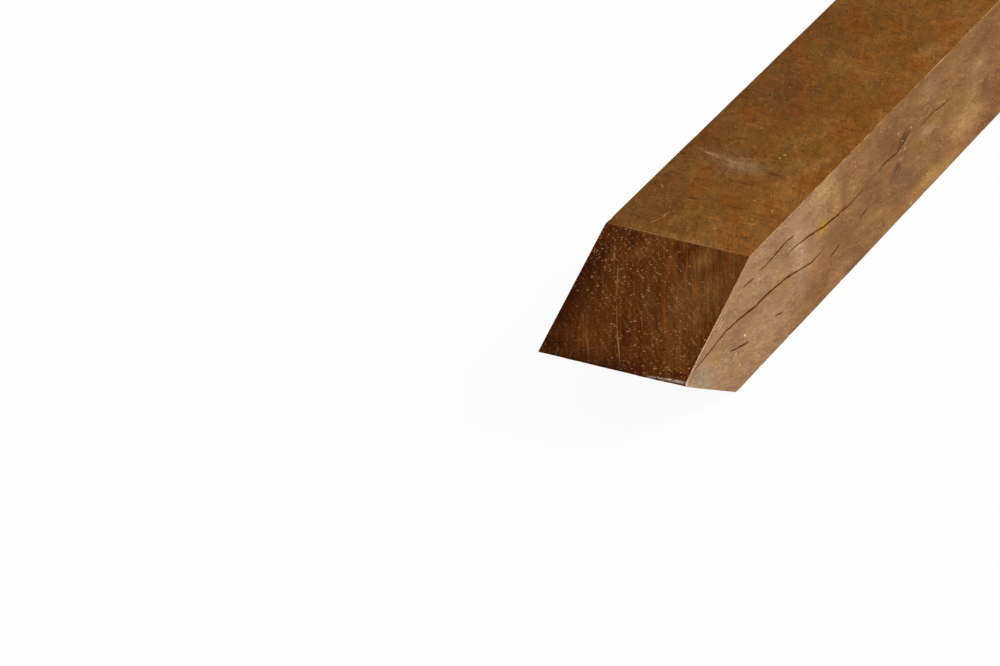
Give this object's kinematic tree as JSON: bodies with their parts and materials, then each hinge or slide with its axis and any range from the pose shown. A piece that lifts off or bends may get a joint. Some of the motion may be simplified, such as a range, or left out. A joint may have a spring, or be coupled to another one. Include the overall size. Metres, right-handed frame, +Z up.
{
  "type": "hardwood post",
  "caption": "Sawn square hardwood ground post with a chisel point at one end, a square-cut head at the other and drying checks along one side.",
  "frame": {"origin": "under the middle of the post, on the bottom face that it lies on", "axes": "+Y along the post from the tip to the square head, +X out of the side with the drying checks, +Z up through the section"},
  "size_m": [0.07, 1, 0.068],
  "materials": {
    "hardwood": "rough sawn, untreated, matt"
  },
  "bodies": {
    "root": {"post": "hardwood"}
  },
  "joints": []
}
